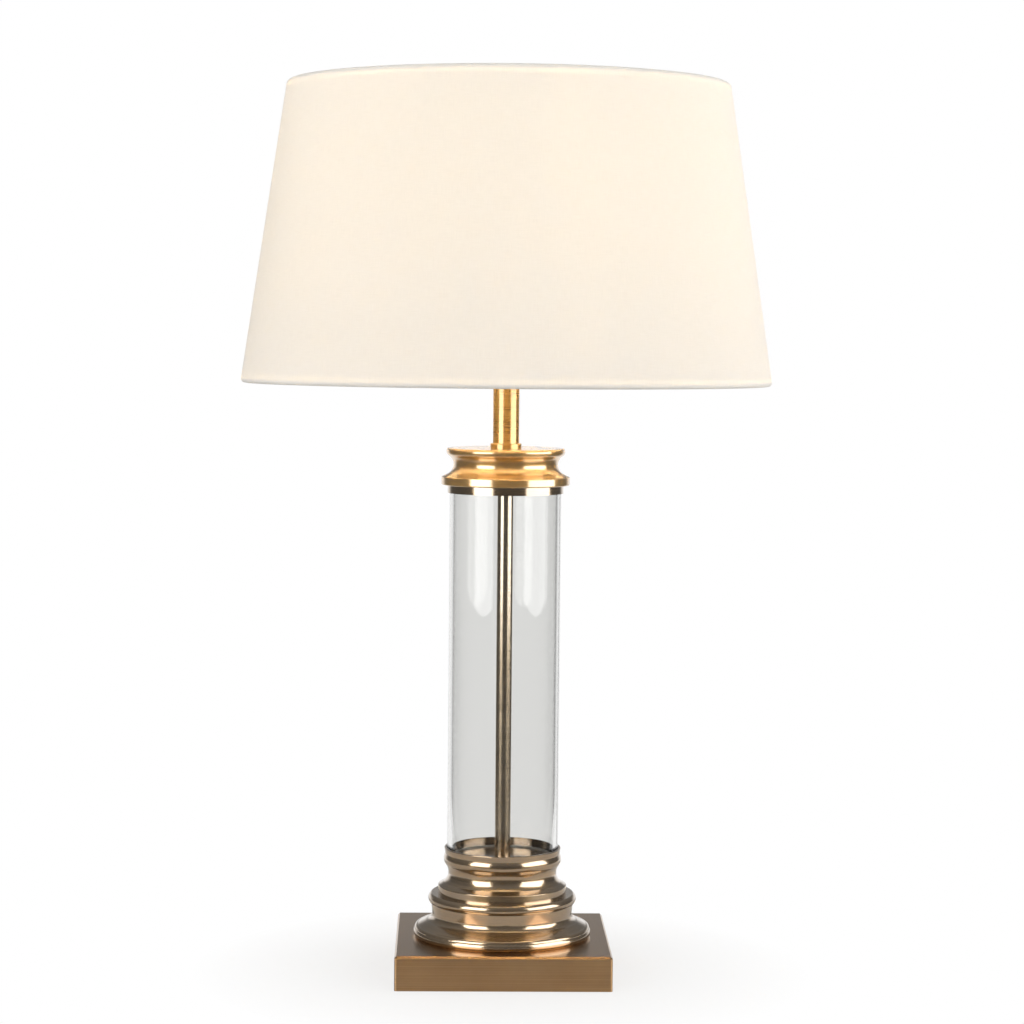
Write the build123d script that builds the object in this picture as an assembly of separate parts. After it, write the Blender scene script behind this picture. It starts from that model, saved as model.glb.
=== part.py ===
from build123d import *
import math
import os

# Column table lamp. Millimetres, +Z up, origin on the floor under the column's axis, -Y is the front.
# Sizes that can be set by themselves stand here once; every place below is stacked up from them.

# Fits
SLIP = 0.1  # radial gap of a screwed or sliding fit
LOOSE = 0.35  # gap round a piece that is dropped into its seat
LAP = 0.1  # gap between two skins of one wall

# Base pad, plinth and ballast
PAD_PROUD = 0.5
PAD_THICKNESS = 2.5
PLINTH_SIDE = 133.4
PLINTH_HEIGHT = 21.3
PLINTH_WALL = 2.0
PLINTH_EDGE = 1.2
PLINTH_CORNER = 1.5
BALLAST_GAP = 0.5
BALLAST_ROOF = 3.0
NUT_POCKET_R = 15.0

# Cord inlet in the back wall of the plinth
INLET_BORE_R = 3.6
INLET_NECK_R = 5.0
INLET_FLANGE_R = 6.5
INLET_LIP_R = 5.8
INLET_FLANGE_THICKNESS = 1.5
INLET_LIP_LENGTH = 2.0
INLET_HEIGHT = 8.5

# Stem and the nut stack that pulls the column together
STEM_R = 5.0
STEM_BORE_R = 3.75
STEM_TAIL = 1.0  # thread left standing past the nut and past the holder's floor
WASHER_R = 11.0
WASHER_THICKNESS = 1.8
LOCK_WASHER_R = 8.5
LOCK_WASHER_THICKNESS = 1.0
LOCK_WASHER_TEETH = 12
LOCK_WASHER_SLOT = 1.2
NUT_HEIGHT = 4.0
NUT_ACROSS_FLATS = 14.0

# Lower moulding: a flat bead with a sloping top that runs up through a cove into a plain waist
LOWER_HEIGHT = 20.6
LOWER_FOOT_R = 54.8
LOWER_BEAD_R = 56.0
LOWER_BEAD_RISE = 2.2  # from the plinth to the widest ring of the bead
LOWER_EDGE_R = 55.25
LOWER_EDGE_RISE = 6.95  # from the plinth to the bead's top edge
LOWER_EDGE_ROUND = 2.2
LOWER_COVE_R = 47.7
LOWER_COVE_RISE = 9.55  # from the plinth to the foot of the cove
LOWER_COVE_HEIGHT = 5.0
LOWER_WAIST_R = 44.0
LOWER_TOP_R = 44.7
LOWER_BORE_R = 41.0

# Middle ring
RING_HEIGHT = 6.3
RING_R = 46.6
RING_UNDER_R = 44.7
RING_BORE_R = 38.0

# Upper moulding: a step ring with a sloping top below a cove
UPPER_HEIGHT = 18.0
UPPER_STEP_R = 40.5
UPPER_STEP_HEIGHT = 5.4
UPPER_STEP_ROUND = 0.65
UPPER_COVE_FOOT_R = 36.8
UPPER_COVE_FOOT_RISE = 7.3  # from the middle ring to the foot of the cove
UPPER_COVE_R = 34.1
UPPER_TOP_R = 35.5
UPPER_BORE_R = 31.0
MOULDING_ROOF = 3.0

# Glass cup: a half-round bead below a band that flares a little to its rim
CUP_HEIGHT = 11.0
CUP_BEAD_HEIGHT = 7.2
CUP_BEAD_R = 37.05
CUP_BAND_R = 36.1
CUP_RIM_R = 36.7
CUP_FLOOR = 5.3
RIM_ROUND = 0.4

# Glass column and its gaskets
GLASS_R = 35.0
GLASS_WALL = 3.0
GLASS_LENGTH = 231.5
GASKET_THICKNESS = 1.0

# Cap: a shallow cup over the glass, and a turned moulding on it
CAP_CUP_HEIGHT = 5.0
CAP_CUP_R = 36.4
CAP_CUP_ROOF = 1.0
CAP_HEIGHT = 23.0
CAP_FLANGE_R = 40.3
CAP_FLANGE_HEIGHT = 5.4
CAP_FLANGE_SLOPE = 1.5
CAP_ROUND = 0.7
CAP_COVE_FOOT_R = 36.6
CAP_COVE_R = 32.8
CAP_COVE_RISE = 13.0
CAP_LIP_R = 37.3
CAP_LIP_DROP = 4.6  # from the cap's top to the end of the cove, where the round lip starts
CAP_LIP_FOOT_R = 36.0
CAP_BORE_R = 29.0

# Neck
NECK_COLLAR_R = 9.8
NECK_COLLAR_HEIGHT = 3.0
NECK_R = 8.25
NECK_WALL = 1.5
NECK_LENGTH = 49.5

# Lampholder
DOME_FOOT_R = 9.0
DOME_R = 19.4
DOME_HEIGHT = 20.0
DOME_ROUND = 7.5
DOME_WALL = 1.5
DOME_FLOOR = 3.5
GRUB_R = 1.5
GRUB_LENGTH = 4.5
SKIRT_R = 19.75
SKIRT_BORE_R = 16.9
SKIRT_SHOULDER_R = 22.5
SKIRT_SHOULDER_HEIGHT = 7.0
SKIRT_LAP = 5.0  # how far the shoulder reaches down over the dome
SKIRT_HEIGHT = 23.0  # above the shoulder
SKIRT_EDGE = 0.8
INSERT_FLANGE = 1.0
INSERT_FOOT_R = 14.0
INSERT_FOOT_DROP = 13.5
INSERT_TOP_R = 16.5
INSERT_TOP_RISE = 1.5
TERMINAL_HEAD_R = 2.5
TERMINAL_HEAD = 1.6
TERMINAL_SHANK_R = 1.5
TERMINAL_SHANK = 5.0
TERMINAL_DROP = 5.5
CONTACT_WIDTH = 5.0
CONTACT_REACH = 8.0
CONTACT_THICKNESS = 0.5
CONTACT_RISE = 2.0

# Rotary switch on the side of the lampholder
SWITCH_DROP = 10.0  # from the top of the dome to the switch's axis
SWITCH_SHAFT_R = 1.5
SWITCH_SHAFT_DEPTH = 8.0
KNOB_R = 4.5
KNOB_LENGTH = 13.0
KNOB_STANDOFF = 1.2
KNOB_BORE_DEPTH = 6.0
KNOB_FLUTES = 12
KNOB_FLUTE_R = 0.6

# Screw cap of the bulb and the shell that it turns in
SCREW_MID_R = 12.75
SCREW_DEPTH = 0.5
SCREW_PITCH = 3.63
SCREW_RIDGE_COUNT = 4
SCREW_GAP = 0.3
SHELL_WALL = 0.4
SHELL_FLOOR_BORE_R = 9.0
CAP_SKIN_BORE_R = 11.4
CAP_COLLAR_R = 13.3
CAP_COLLAR_BORE_R = 12.7
CAP_COLLAR_HEIGHT = 7.0
INSULATOR_FOOT_R = 5.0
INSULATOR_TOP_R = 10.5
INSULATOR_HEIGHT = 3.3
INSULATOR_RIM = 1.0  # height of its straight rim, and how far the cap is turned in over it
TIP_R = 4.8
TIP_HEIGHT = 0.7

# Bulb envelope
BULB_R = 30.0
BULB_LENGTH = 105.0
BULB_NECK_R = 12.4
BULB_WALL = 0.9
BULB_FLANK_ANGLE = 35.0  # below the equator, where the round crown runs into the flank
BULB_NECK_DEPTH = 6.0
BULB_NECK_STANDOUT = 3.0
BULB_STEM_R = 3.5
BULB_STEM_FLARE_R = 11.2
BULB_STEM_RIM = 1.0
BULB_STEM_THROAT_R = 5.5  # half way up the flare
BULB_STEM_THROAT_RISE = 4.0
BULB_STEM_LENGTH = 30.0
FILAMENT_DISC_R = 8.0
FILAMENT_HUB_R = 5.0
FILAMENT_DISC_THICKNESS = 0.8
FILAMENT_POST_R = 0.6
FILAMENT_R = 0.9
FILAMENT_COUNT = 4
FILAMENT_HEIGHT = 32.0

# Shade ring on the lampholder
SHADE_RING_R = 25.5
SHADE_RING_HEIGHT = 8.0
SHADE_RING_FLUTES = 16
SHADE_RING_FLUTE_R = 1.2
SHADE_RING_CHAMFER = 0.8

# Shade
SHADE_BOTTOM_R = 165.0
SHADE_TOP_R = 137.5
SHADE_HEIGHT = 185.7
SHADE_DROP = 34.1  # from the fitter ring down to the bottom edge
WIRE_R = 1.3  # both rings and the arms
RING_GAP = 0.3  # between a ring wire and the cloth rolled round it
CLOTH = 0.4
LINER = 0.4
TAPE = 0.25
TAPE_WIDTH = 12.0
TOP_HEM_RETURN = 175.0  # degrees that the rolled cloth runs back round the top ring
HEM_FLAT_COUNT = 10
FITTER_R = 29.0
FITTER_THICKNESS = 1.5
FITTER_GAP = 0.55
ARM_COUNT = 3
ARM_INSET = 1.5

# Heights, stacked from the floor
PLINTH_Z = PAD_PROUD
PLINTH_TOP = PLINTH_Z + PLINTH_HEIGHT
BALLAST_TOP = PLINTH_TOP - PLINTH_WALL
POCKET_TOP = BALLAST_TOP - BALLAST_ROOF
LOCK_WASHER_TOP = POCKET_TOP - WASHER_THICKNESS
NUT_TOP = LOCK_WASHER_TOP - LOCK_WASHER_THICKNESS
STEM_FOOT = NUT_TOP - NUT_HEIGHT - STEM_TAIL
LOWER_TOP = PLINTH_TOP + LOWER_HEIGHT
RING_TOP = LOWER_TOP + RING_HEIGHT
UPPER_TOP = RING_TOP + UPPER_HEIGHT
CUP_TOP = UPPER_TOP + CUP_HEIGHT
CUP_FLOOR_Z = UPPER_TOP + CUP_FLOOR
GLASS_Z = CUP_FLOOR_Z + GASKET_THICKNESS
GLASS_TOP = GLASS_Z + GLASS_LENGTH
CAP_CEILING = GLASS_TOP + GASKET_THICKNESS
CAP_Z = CAP_CEILING + CAP_CUP_ROOF
CAP_TOP = CAP_Z + CAP_HEIGHT
NECK_Z = CAP_TOP + NECK_COLLAR_HEIGHT
DOME_Z = NECK_Z + NECK_LENGTH
DOME_TOP = DOME_Z + DOME_HEIGHT
STEM_TOP = DOME_Z + DOME_FLOOR + STEM_TAIL
SWITCH_Z = DOME_TOP - SWITCH_DROP
SHOULDER_TOP = DOME_TOP - SKIRT_LAP + SKIRT_SHOULDER_HEIGHT
INSERT_TOP = SHOULDER_TOP + INSERT_TOP_RISE
SKIRT_TOP = SHOULDER_TOP + SKIRT_HEIGHT
SHADE_RING_Z = SHOULDER_TOP + FITTER_THICKNESS

# Bulb heights
TIP_Z = INSERT_TOP + CONTACT_RISE + SLIP
INSULATOR_Z = TIP_Z + TIP_HEIGHT
BULB_CAP_Z = INSULATOR_Z + INSULATOR_HEIGHT
SCREW_Z = BULB_CAP_Z + SCREW_DEPTH
SCREW_TOP = SCREW_Z + SCREW_RIDGE_COUNT * SCREW_PITCH
BULB_CAP_TOP = SCREW_TOP + SCREW_DEPTH + CAP_COLLAR_HEIGHT
BULB_TOP = TIP_Z + BULB_LENGTH
BULB_EQUATOR = BULB_TOP - BULB_R
BULB_NECK_Z = BULB_CAP_TOP - BULB_NECK_DEPTH
BULB_FLANK_Z = BULB_CAP_TOP + BULB_NECK_STANDOUT

# Shade wall: a straight line between the centres of the two ring wires, with skins laid outside it
ROLL_R = WIRE_R + RING_GAP + CLOTH
SHADE_BOTTOM = SHOULDER_TOP - SHADE_DROP
SHADE_TOP = SHADE_BOTTOM + SHADE_HEIGHT
BOTTOM_RING_R = SHADE_BOTTOM_R - ROLL_R
BOTTOM_RING_Z = SHADE_BOTTOM + ROLL_R
TOP_RING_R = SHADE_TOP_R - ROLL_R
TOP_RING_Z = SHADE_TOP - ROLL_R
WALL_RUN = math.hypot(TOP_RING_R - BOTTOM_RING_R, TOP_RING_Z - BOTTOM_RING_Z)
WALL_LEAN = math.atan2(BOTTOM_RING_R - TOP_RING_R, TOP_RING_Z - BOTTOM_RING_Z)
LINER_MARGIN = 1.5 * ROLL_R  # the liner starts past the rolled hem


def at(r, z):
    """Point of the half section at radius r and height z."""
    return (r, 0, z)


def turned(start, *steps):
    """Solid of revolution. A step is (r, z) for a straight side, or (r, z, r, z) for an arc
    through the first point to the second. The outline closes with a straight side."""
    sides = []
    here = start
    for step in steps:
        there = step[-2:]
        if len(step) == 2:
            sides.append(Line(at(*here), at(*there)))
        else:
            sides.append(ThreePointArc(at(*here), at(*step[:2]), at(*there)))
        here = there
    if math.dist(here, start) > 1e-6:
        sides.append(Line(at(*here), at(*start)))
    return revolve(Face(Wire(sides)), Axis.Z)


def rounded_top(r, z, edge):
    """Steps that go up to an outer corner at (r, z) and round it by edge."""
    bulge = edge * (1 - math.sqrt(0.5))
    return [(r, z - edge), (r - bulge, z - bulge, r - edge, z)]


def rounded_foot(r, z, edge):
    """Steps that go out to an outer lower corner at (r, z) and round it by edge."""
    bulge = edge * (1 - math.sqrt(0.5))
    return [(r - edge, z), (r - bulge, z + bulge, r, z + edge)]


def bowl_arc(start, end):
    """Arc step that leaves start level and curves up to end."""
    run = end[0] - start[0]
    rise = end[1] - start[1]
    radius = (run * run + rise * rise) / (2 * rise)
    half_turn = math.atan2(rise, run)
    return (start[0] + radius * math.sin(half_turn), start[1] + radius * (1 - math.cos(half_turn)), *end)


def tube(r_out, r_in, z_low, z_high):
    """Plain ring or tube."""
    return turned((r_in, z_low), (r_out, z_low), (r_out, z_high), (r_in, z_high))


def block(side, corner, z_low, z_high):
    """Square block with rounded upright corners."""
    plate = RectangleRounded(side, side, corner)
    return Pos(0, 0, z_low) * extrude(plate, z_high - z_low)


def rod_between(a, b, r):
    """Round rod from point a to point b."""
    path = Vector(*b) - Vector(*a)
    return extrude(Plane(origin=a, z_dir=path) * Circle(r), path.length)


def turned_about_y(part):
    """Lay a part that was made along +Z along +Y, with its foot at the same distance out."""
    return Rot(-90, 0, 0) * part


def turned_about_x(part):
    """Lay a part that was made along +Z along +X."""
    return Rot(0, 90, 0) * part


# Base


def base_pad():
    side = PLINTH_SIDE - 2 * (PLINTH_WALL + BALLAST_GAP)
    return block(side, PLINTH_CORNER, 0, PAD_THICKNESS)


def plinth_shell():
    shell = block(PLINTH_SIDE, PLINTH_CORNER, PLINTH_Z, PLINTH_TOP)
    shell = chamfer(shell.edges().group_by(Axis.Z)[-1], PLINTH_EDGE)
    inner_side = PLINTH_SIDE - 2 * PLINTH_WALL
    shell -= block(inner_side, PLINTH_CORNER, PLINTH_Z, BALLAST_TOP)
    shell -= Pos(0, 0, BALLAST_TOP) * extrude(Circle(STEM_R + SLIP), PLINTH_WALL)
    inlet_hole = turned_about_y(extrude(Circle(INLET_NECK_R + SLIP), PLINTH_SIDE))
    return shell - Pos(0, 0, INLET_HEIGHT) * inlet_hole


def ballast():
    side = PLINTH_SIDE - 2 * (PLINTH_WALL + BALLAST_GAP)
    weight = block(side, PLINTH_CORNER, PAD_THICKNESS, BALLAST_TOP)
    weight -= Pos(0, 0, PAD_THICKNESS) * extrude(Circle(NUT_POCKET_R), POCKET_TOP - PAD_THICKNESS)
    weight -= Pos(0, 0, POCKET_TOP) * extrude(Circle(STEM_R + SLIP), BALLAST_ROOF)
    half_width = INLET_LIP_R + LOOSE
    channel_top = INLET_HEIGHT + half_width
    channel = Box(2 * half_width, side, channel_top - PAD_THICKNESS,
                  align=(Align.CENTER, Align.MIN, Align.MIN))
    return weight - Pos(0, 0, PAD_THICKNESS) * channel


def cord_inlet_bush():
    face = PLINTH_SIDE / 2
    inner_face = face - PLINTH_WALL - SLIP
    outer_end = face + INLET_FLANGE_THICKNESS
    inner_end = inner_face - INLET_LIP_LENGTH
    round_off = INLET_FLANGE_THICKNESS / 2
    bush = turned(
        (INLET_BORE_R, inner_end),
        (INLET_NECK_R, inner_end),
        (INLET_LIP_R, inner_face - INLET_LIP_LENGTH / 2),
        (INLET_LIP_R, inner_face),
        (INLET_NECK_R, inner_face),
        (INLET_NECK_R, face),
        (INLET_FLANGE_R, face),
        (INLET_FLANGE_R, outer_end - round_off),
        (INLET_FLANGE_R - round_off, outer_end),
        (INLET_BORE_R + round_off, outer_end),
        (INLET_BORE_R, outer_end - round_off),
    )
    return Pos(0, 0, INLET_HEIGHT) * turned_about_y(bush)


def stem_washer():
    return tube(WASHER_R, STEM_R + SLIP, LOCK_WASHER_TOP, POCKET_TOP)


def stem_lock_washer():
    washer = tube(LOCK_WASHER_R, STEM_R + SLIP, NUT_TOP, LOCK_WASHER_TOP)
    slot = Pos(LOCK_WASHER_R, 0, NUT_TOP) * Box(
        2 * LOCK_WASHER_SLOT, LOCK_WASHER_SLOT, 2 * LOCK_WASHER_THICKNESS)
    for index in range(LOCK_WASHER_TEETH):
        washer -= Rot(0, 0, index * 360 / LOCK_WASHER_TEETH) * slot
    return washer


def stem_nut():
    hexagon = RegularPolygon(NUT_ACROSS_FLATS / 2, 6, major_radius=False)
    nut = Pos(0, 0, NUT_TOP - NUT_HEIGHT) * extrude(hexagon, NUT_HEIGHT)
    return nut - Pos(0, 0, NUT_TOP - NUT_HEIGHT) * extrude(Circle(STEM_R + LAP), NUT_HEIGHT)


def lower_moulding():
    edge_foot, edge_arc = rounded_top(LOWER_EDGE_R, PLINTH_TOP + LOWER_EDGE_RISE, LOWER_EDGE_ROUND)
    cove_foot_z = PLINTH_TOP + LOWER_COVE_RISE
    cove_r = (3 * LOWER_WAIST_R + LOWER_COVE_R) / 4
    cove_z = cove_foot_z + LOWER_COVE_HEIGHT / 3
    spigot_r = RING_BORE_R - SLIP
    spigot_top = LOWER_TOP + RING_HEIGHT / 2 - SLIP
    return turned(
        (LOWER_BORE_R, PLINTH_TOP),
        (LOWER_FOOT_R, PLINTH_TOP),
        (LOWER_BEAD_R, PLINTH_TOP + LOWER_BEAD_RISE, *edge_foot),
        edge_arc,
        (LOWER_COVE_R, cove_foot_z),
        (cove_r, cove_z, LOWER_WAIST_R, cove_foot_z + LOWER_COVE_HEIGHT),
        (LOWER_TOP_R, LOWER_TOP),
        (spigot_r, LOWER_TOP),
        (spigot_r, spigot_top),
        (STEM_R + SLIP, spigot_top),
        (STEM_R + SLIP, LOWER_TOP - MOULDING_ROOF),
        (LOWER_BORE_R, LOWER_TOP - MOULDING_ROOF),
    )


def middle_ring():
    return turned(
        (RING_BORE_R, LOWER_TOP),
        (RING_UNDER_R, LOWER_TOP),
        (RING_R, LOWER_TOP + RING_HEIGHT / 2, RING_UNDER_R, RING_TOP),
        (RING_BORE_R, RING_TOP),
    )


def upper_moulding():
    cove_foot_z = RING_TOP + UPPER_COVE_FOOT_RISE
    spigot_r = RING_BORE_R - SLIP
    spigot_z = LOWER_TOP + RING_HEIGHT / 2 + SLIP
    return turned(
        (UPPER_BORE_R, spigot_z),
        (spigot_r, spigot_z),
        (spigot_r, RING_TOP),
        (UPPER_STEP_R, RING_TOP),
        *rounded_top(UPPER_STEP_R, RING_TOP + UPPER_STEP_HEIGHT, UPPER_STEP_ROUND),
        (UPPER_COVE_FOOT_R, cove_foot_z),
        (UPPER_COVE_R, (cove_foot_z + UPPER_TOP) / 2, UPPER_TOP_R, UPPER_TOP),
        (STEM_R + SLIP, UPPER_TOP),
        (STEM_R + SLIP, UPPER_TOP - MOULDING_ROOF),
        (UPPER_BORE_R, UPPER_TOP - MOULDING_ROOF),
    )


def glass_cup():
    bead_top = UPPER_TOP + CUP_BEAD_HEIGHT
    seat_r = GLASS_R + LOOSE
    return turned(
        (STEM_R + SLIP, UPPER_TOP),
        (UPPER_TOP_R, UPPER_TOP),
        (CUP_BEAD_R, (UPPER_TOP + bead_top) / 2, CUP_BAND_R, bead_top),
        *rounded_top(CUP_RIM_R, CUP_TOP, RIM_ROUND),
        (seat_r, CUP_TOP),
        (seat_r, CUP_FLOOR_Z),
        (STEM_R + SLIP, CUP_FLOOR_Z),
    )


# Column


def gasket(z_low):
    return tube(GLASS_R, GLASS_R - GLASS_WALL, z_low, z_low + GASKET_THICKNESS)


def glass_column():
    glass = tube(GLASS_R, GLASS_R - GLASS_WALL, GLASS_Z, GLASS_TOP)
    rims = glass.edges().filter_by(GeomType.CIRCLE)
    return fillet(rims, GLASS_WALL / 10)


def stem_rod():
    return tube(STEM_R, STEM_BORE_R, STEM_FOOT, STEM_TOP)


def cap_cup():
    rim = CAP_Z - CAP_CUP_HEIGHT
    seat_r = GLASS_R + LOOSE
    return turned(
        (seat_r, rim),
        (CAP_CUP_R, rim),
        (CAP_CUP_R, CAP_Z),
        (STEM_R + SLIP, CAP_Z),
        (STEM_R + SLIP, CAP_CEILING),
        (seat_r, CAP_CEILING),
    )


def cap_moulding():
    flange_top = CAP_Z + CAP_FLANGE_HEIGHT
    lip_foot_z = CAP_TOP - CAP_LIP_DROP
    return turned(
        (CAP_BORE_R, CAP_Z),
        *rounded_foot(CAP_FLANGE_R, CAP_Z, CAP_ROUND),
        *rounded_top(CAP_FLANGE_R, flange_top, CAP_ROUND),
        (CAP_COVE_FOOT_R, flange_top + CAP_FLANGE_SLOPE),
        (CAP_COVE_R, CAP_Z + CAP_COVE_RISE, CAP_LIP_FOOT_R, lip_foot_z),
        (CAP_LIP_R, (lip_foot_z + CAP_TOP) / 2, CAP_LIP_R - CAP_ROUND, CAP_TOP),
        (STEM_R + SLIP, CAP_TOP),
        (STEM_R + SLIP, CAP_TOP - MOULDING_ROOF),
        (CAP_BORE_R, CAP_TOP - MOULDING_ROOF),
    )


def neck_collar():
    edge = NECK_COLLAR_HEIGHT / 8
    return turned(
        (STEM_R + LAP, CAP_TOP),
        (NECK_COLLAR_R, CAP_TOP),
        (NECK_COLLAR_R, NECK_Z - edge),
        (NECK_COLLAR_R - edge, NECK_Z),
        (STEM_R + LAP, NECK_Z),
    )


def neck_tube():
    return tube(NECK_R, NECK_R - NECK_WALL, NECK_Z, DOME_Z)


# Lampholder


def grub_height():
    return DOME_Z + DOME_FLOOR / 2


def holder_dome():
    inside = DOME_R - DOME_WALL
    floor_z = DOME_Z + DOME_FLOOR
    inner_top = (inside, DOME_Z + DOME_ROUND + DOME_WALL)
    inner_foot = (DOME_FOOT_R + DOME_WALL, floor_z)
    dome = turned(
        (STEM_R + LAP, DOME_Z),
        (DOME_FOOT_R, DOME_Z),
        bowl_arc((DOME_FOOT_R, DOME_Z), (DOME_R, DOME_Z + DOME_ROUND)),
        (DOME_R, DOME_TOP),
        (inside, DOME_TOP),
        inner_top,
        bowl_arc(inner_foot, inner_top)[:2] + inner_foot,
        (STEM_R + LAP, floor_z),
    )
    grub_hole = turned_about_y(extrude(Circle(GRUB_R + LAP), DOME_R))
    dome -= Pos(0, 0, grub_height()) * grub_hole
    shaft_hole = turned_about_x(extrude(Circle(SWITCH_SHAFT_R + 2 * SLIP), 2 * DOME_R))
    return dome - Pos(0, 0, SWITCH_Z) * shaft_hole


def holder_grub_screw():
    screw = extrude(Circle(GRUB_R), GRUB_LENGTH)
    socket = extrude(RegularPolygon(GRUB_R / 2, 6), GRUB_LENGTH / 2)
    screw -= Pos(0, 0, GRUB_LENGTH / 2) * socket
    return Pos(0, STEM_R + 2 * LAP, grub_height()) * turned_about_y(screw)


def terminal_places():
    """Turns about Z that lay the two terminal screws out to the front and back of the insert."""
    return [Rot(0, 0, angle) for angle in (0, 180)]


def holder_insert():
    foot_z = DOME_TOP - INSERT_FOOT_DROP
    flange_r = DOME_R - SLIP
    insert = turned(
        (0, foot_z),
        (INSERT_FOOT_R, foot_z),
        (INSERT_FOOT_R, DOME_TOP),
        (flange_r, DOME_TOP),
        (flange_r, DOME_TOP + INSERT_FLANGE),
        (INSERT_TOP_R, DOME_TOP + INSERT_FLANGE),
        (INSERT_TOP_R, INSERT_TOP),
        (0, INSERT_TOP),
    )
    bore = turned_about_x(extrude(Circle(SWITCH_SHAFT_R + SLIP), 2 * INSERT_FOOT_R))
    insert -= Pos(INSERT_FOOT_R - SWITCH_SHAFT_DEPTH, 0, SWITCH_Z) * bore
    screw_bore = turned_about_y(extrude(Circle(TERMINAL_SHANK_R + LAP), TERMINAL_SHANK))
    screw_z = DOME_TOP - TERMINAL_DROP
    for turn in terminal_places():
        insert -= turn * Pos(0, INSERT_FOOT_R - TERMINAL_SHANK, screw_z) * screw_bore
    return insert


def terminal_screws():
    screw = extrude(Circle(TERMINAL_SHANK_R), TERMINAL_SHANK - SLIP)
    head = Pos(0, 0, TERMINAL_SHANK - SLIP) * extrude(Circle(TERMINAL_HEAD_R), TERMINAL_HEAD)
    slot = Pos(0, 0, TERMINAL_SHANK + TERMINAL_HEAD) * Box(
        2 * TERMINAL_HEAD_R, TERMINAL_HEAD / 3, TERMINAL_HEAD)
    screw = turned_about_y(screw + head - slot)
    screw_z = DOME_TOP - TERMINAL_DROP
    seat = INSERT_FOOT_R - TERMINAL_SHANK + SLIP
    return Compound([turn * Pos(0, seat, screw_z) * screw for turn in terminal_places()])


def holder_skirt():
    lap_r = DOME_R + SLIP
    ledge_z = DOME_TOP + INSERT_FLANGE + SLIP
    shoulder_z = SHOULDER_TOP - SKIRT_SHOULDER_HEIGHT
    edge = SKIRT_EDGE
    return turned(
        (lap_r, shoulder_z),
        (SKIRT_SHOULDER_R - edge, shoulder_z),
        (SKIRT_SHOULDER_R, shoulder_z + edge),
        (SKIRT_SHOULDER_R, SHOULDER_TOP),
        (SKIRT_R, SHOULDER_TOP),
        (SKIRT_R, SKIRT_TOP - edge),
        (SKIRT_R - edge, SKIRT_TOP),
        (SKIRT_BORE_R, SKIRT_TOP),
        (SKIRT_BORE_R, ledge_z),
        (lap_r, ledge_z),
    )


def screw_arcs(mid_r, ridges):
    """Rounded ridges up the screw at mid_r: one outward and one inward arc for each pitch."""
    half = SCREW_PITCH / 2
    steps = []
    for index in range(2 * ridges):
        bulge = SCREW_DEPTH if index % 2 == 0 else -SCREW_DEPTH
        z = SCREW_Z + index * half
        steps.append((mid_r + bulge, z + half / 2, mid_r, z + half))
    return steps


def reversed_steps(start, steps):
    """The same run of arcs from its end back to its start."""
    points = [start] + [step[-2:] for step in steps]
    back = []
    for index in range(len(steps) - 1, -1, -1):
        back.append(steps[index][:2] + points[index])
    return back


def screw_shell():
    inner_r = SCREW_MID_R + SCREW_GAP
    outer_r = inner_r + SHELL_WALL
    floor_top = INSERT_TOP + SHELL_WALL
    inner_start = (inner_r, SCREW_Z)
    inner_arcs = screw_arcs(inner_r, SCREW_RIDGE_COUNT)
    return turned(
        (SHELL_FLOOR_BORE_R, INSERT_TOP),
        (outer_r, INSERT_TOP),
        (outer_r, SCREW_Z),
        *screw_arcs(outer_r, SCREW_RIDGE_COUNT),
        (inner_r, SCREW_TOP),
        *reversed_steps(inner_start, inner_arcs),
        (inner_r, floor_top),
        (SHELL_FLOOR_BORE_R, floor_top),
    )


def centre_contact():
    """Spring leaf on the insert: a foot, an upright and a leaf under the bulb's tip."""
    t = CONTACT_THICKNESS
    half = CONTACT_REACH / 2
    outline = Polyline(
        (-half, 0), (half, 0), (half, CONTACT_RISE), (-half, CONTACT_RISE), (-half, CONTACT_RISE - t),
        (half - t, CONTACT_RISE - t), (half - t, t), (-half, t), close=True)
    leaf = extrude(Plane.XZ * make_face(outline), CONTACT_WIDTH / 2, both=True)
    return Pos(0, 0, INSERT_TOP) * leaf


def switch_shaft():
    start = INSERT_FOOT_R - SWITCH_SHAFT_DEPTH + SLIP
    end = knob_start() + KNOB_BORE_DEPTH - SLIP
    shaft = turned_about_x(extrude(Circle(SWITCH_SHAFT_R), end - start))
    return Pos(start, 0, SWITCH_Z) * shaft


def knob_start():
    return SKIRT_SHOULDER_R + KNOB_STANDOFF


def switch_knob():
    edge = KNOB_R / 6
    knob = turned(
        (0, 0),
        *rounded_foot(KNOB_R, 0, edge),
        *rounded_top(KNOB_R, KNOB_LENGTH, 2 * edge),
        (0, KNOB_LENGTH),
    )
    flute = Pos(KNOB_R + KNOB_FLUTE_R / 2, 0, 0) * extrude(Circle(KNOB_FLUTE_R), KNOB_LENGTH)
    for index in range(KNOB_FLUTES):
        knob -= Rot(0, 0, index * 360 / KNOB_FLUTES) * flute
    knob -= extrude(Circle(SWITCH_SHAFT_R + LAP), KNOB_BORE_DEPTH)
    return Pos(knob_start(), 0, SWITCH_Z) * turned_about_x(knob)


# Bulb


def bulb_tip_contact():
    return turned((0, TIP_Z), (TIP_R / 2, TIP_Z), (TIP_R, INSULATOR_Z), (0, INSULATOR_Z))


def bulb_insulator():
    return turned(
        (0, INSULATOR_Z),
        (INSULATOR_FOOT_R, INSULATOR_Z),
        (INSULATOR_TOP_R, BULB_CAP_Z - INSULATOR_RIM),
        (INSULATOR_TOP_R, BULB_CAP_Z),
        (0, BULB_CAP_Z),
    )


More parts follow.
